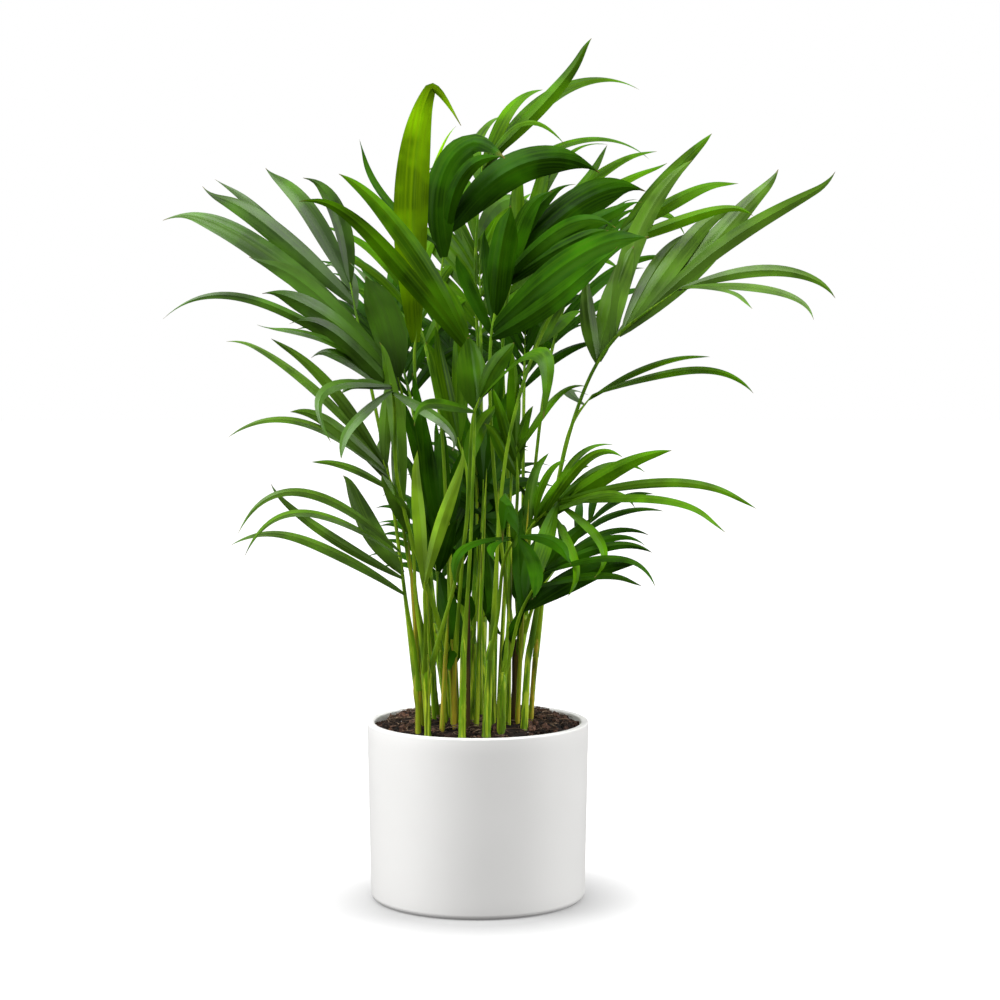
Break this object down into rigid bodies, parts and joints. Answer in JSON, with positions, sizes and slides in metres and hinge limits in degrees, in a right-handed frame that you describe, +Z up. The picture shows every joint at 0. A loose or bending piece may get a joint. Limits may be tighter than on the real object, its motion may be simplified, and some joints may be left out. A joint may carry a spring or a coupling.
{
  "type": "potted areca palm",
  "caption": "Clump of slender green palm stems carrying arching feather fronds with long narrow leaflets, standing in a round white flower pot filled with dark soil.",
  "frame": {"origin": "centre of the pot's flat underside", "axes": "+Z up along the pot's axis, +X to the right of the front view, +Y away from the viewer of the front view"},
  "size_m": [0.6003, 0.494, 0.7848],
  "materials": {
    "pot": "smooth matte white",
    "soil": "loose dark potting mix with fibres and bark",
    "stem": "smooth yellow-green sheath, waxy",
    "leaf_deep": "dark green, satin leaf surface",
    "leaf_bluish": "bluish green, satin leaf surface",
    "leaf_mid": "mid green, satin leaf surface",
    "leaf_fresh": "young yellow-green, satin leaf surface",
    "leaf_pale": "pale young green, satin leaf surface"
  },
  "bodies": {
    "root": {"pot": "pot", "soil": "soil", "stem_left": "stem", "stem_left_front": "stem", "stem_left_back": "stem", "stem_thin": "stem", "stem_middle_left": "stem", "stem_middle_front": "stem", "stem_middle": "stem", "stem_middle_right_front": "stem", "stem_right_front": "stem", "stem_old_brown": "stem", "stem_right": "stem", "stem_right_outer": "stem", "stem_back_left": "stem", "stem_back": "stem", "stem_back_right": "stem", "stem_back_middle": "stem", "frond_left_high": "leaf_bluish", "frond_left_fan": "leaf_bluish", "frond_middle_high": "leaf_deep", "frond_crossing": "leaf_mid", "frond_young_tall": "leaf_fresh", "frond_back_top": "leaf_mid", "frond_right_crown": "leaf_deep", "frond_right_back": "leaf_mid", "frond_right_high": "leaf_mid", "frond_right_long": "leaf_mid", "frond_right_arc": "leaf_mid", "frond_right_low": "leaf_mid", "frond_right_lowest": "leaf_deep", "frond_front_drooping": "leaf_mid", "frond_front_folded": "leaf_fresh", "frond_front_young": "leaf_pale", "frond_middle_narrow": "leaf_mid", "frond_middle_pleated": "leaf_pale", "frond_middle_dark": "leaf_deep", "frond_left_drooping": "leaf_mid", "frond_left_long": "leaf_deep", "frond_left_lowest": "leaf_deep", "frond_middle_low": "leaf_deep", "frond_far_high": "leaf_mid", "frond_far_left": "leaf_deep", "frond_far_right": "leaf_deep", "frond_far_low": "leaf_deep", "frond_far_left_low": "leaf_mid", "frond_far_right_low": "leaf_mid", "frond_far_left_high": "leaf_mid", "frond_far_middle": "leaf_mid", "frond_far_lowest": "leaf_deep", "frond_far_right_high": "leaf_mid"}
  },
  "joints": []
}
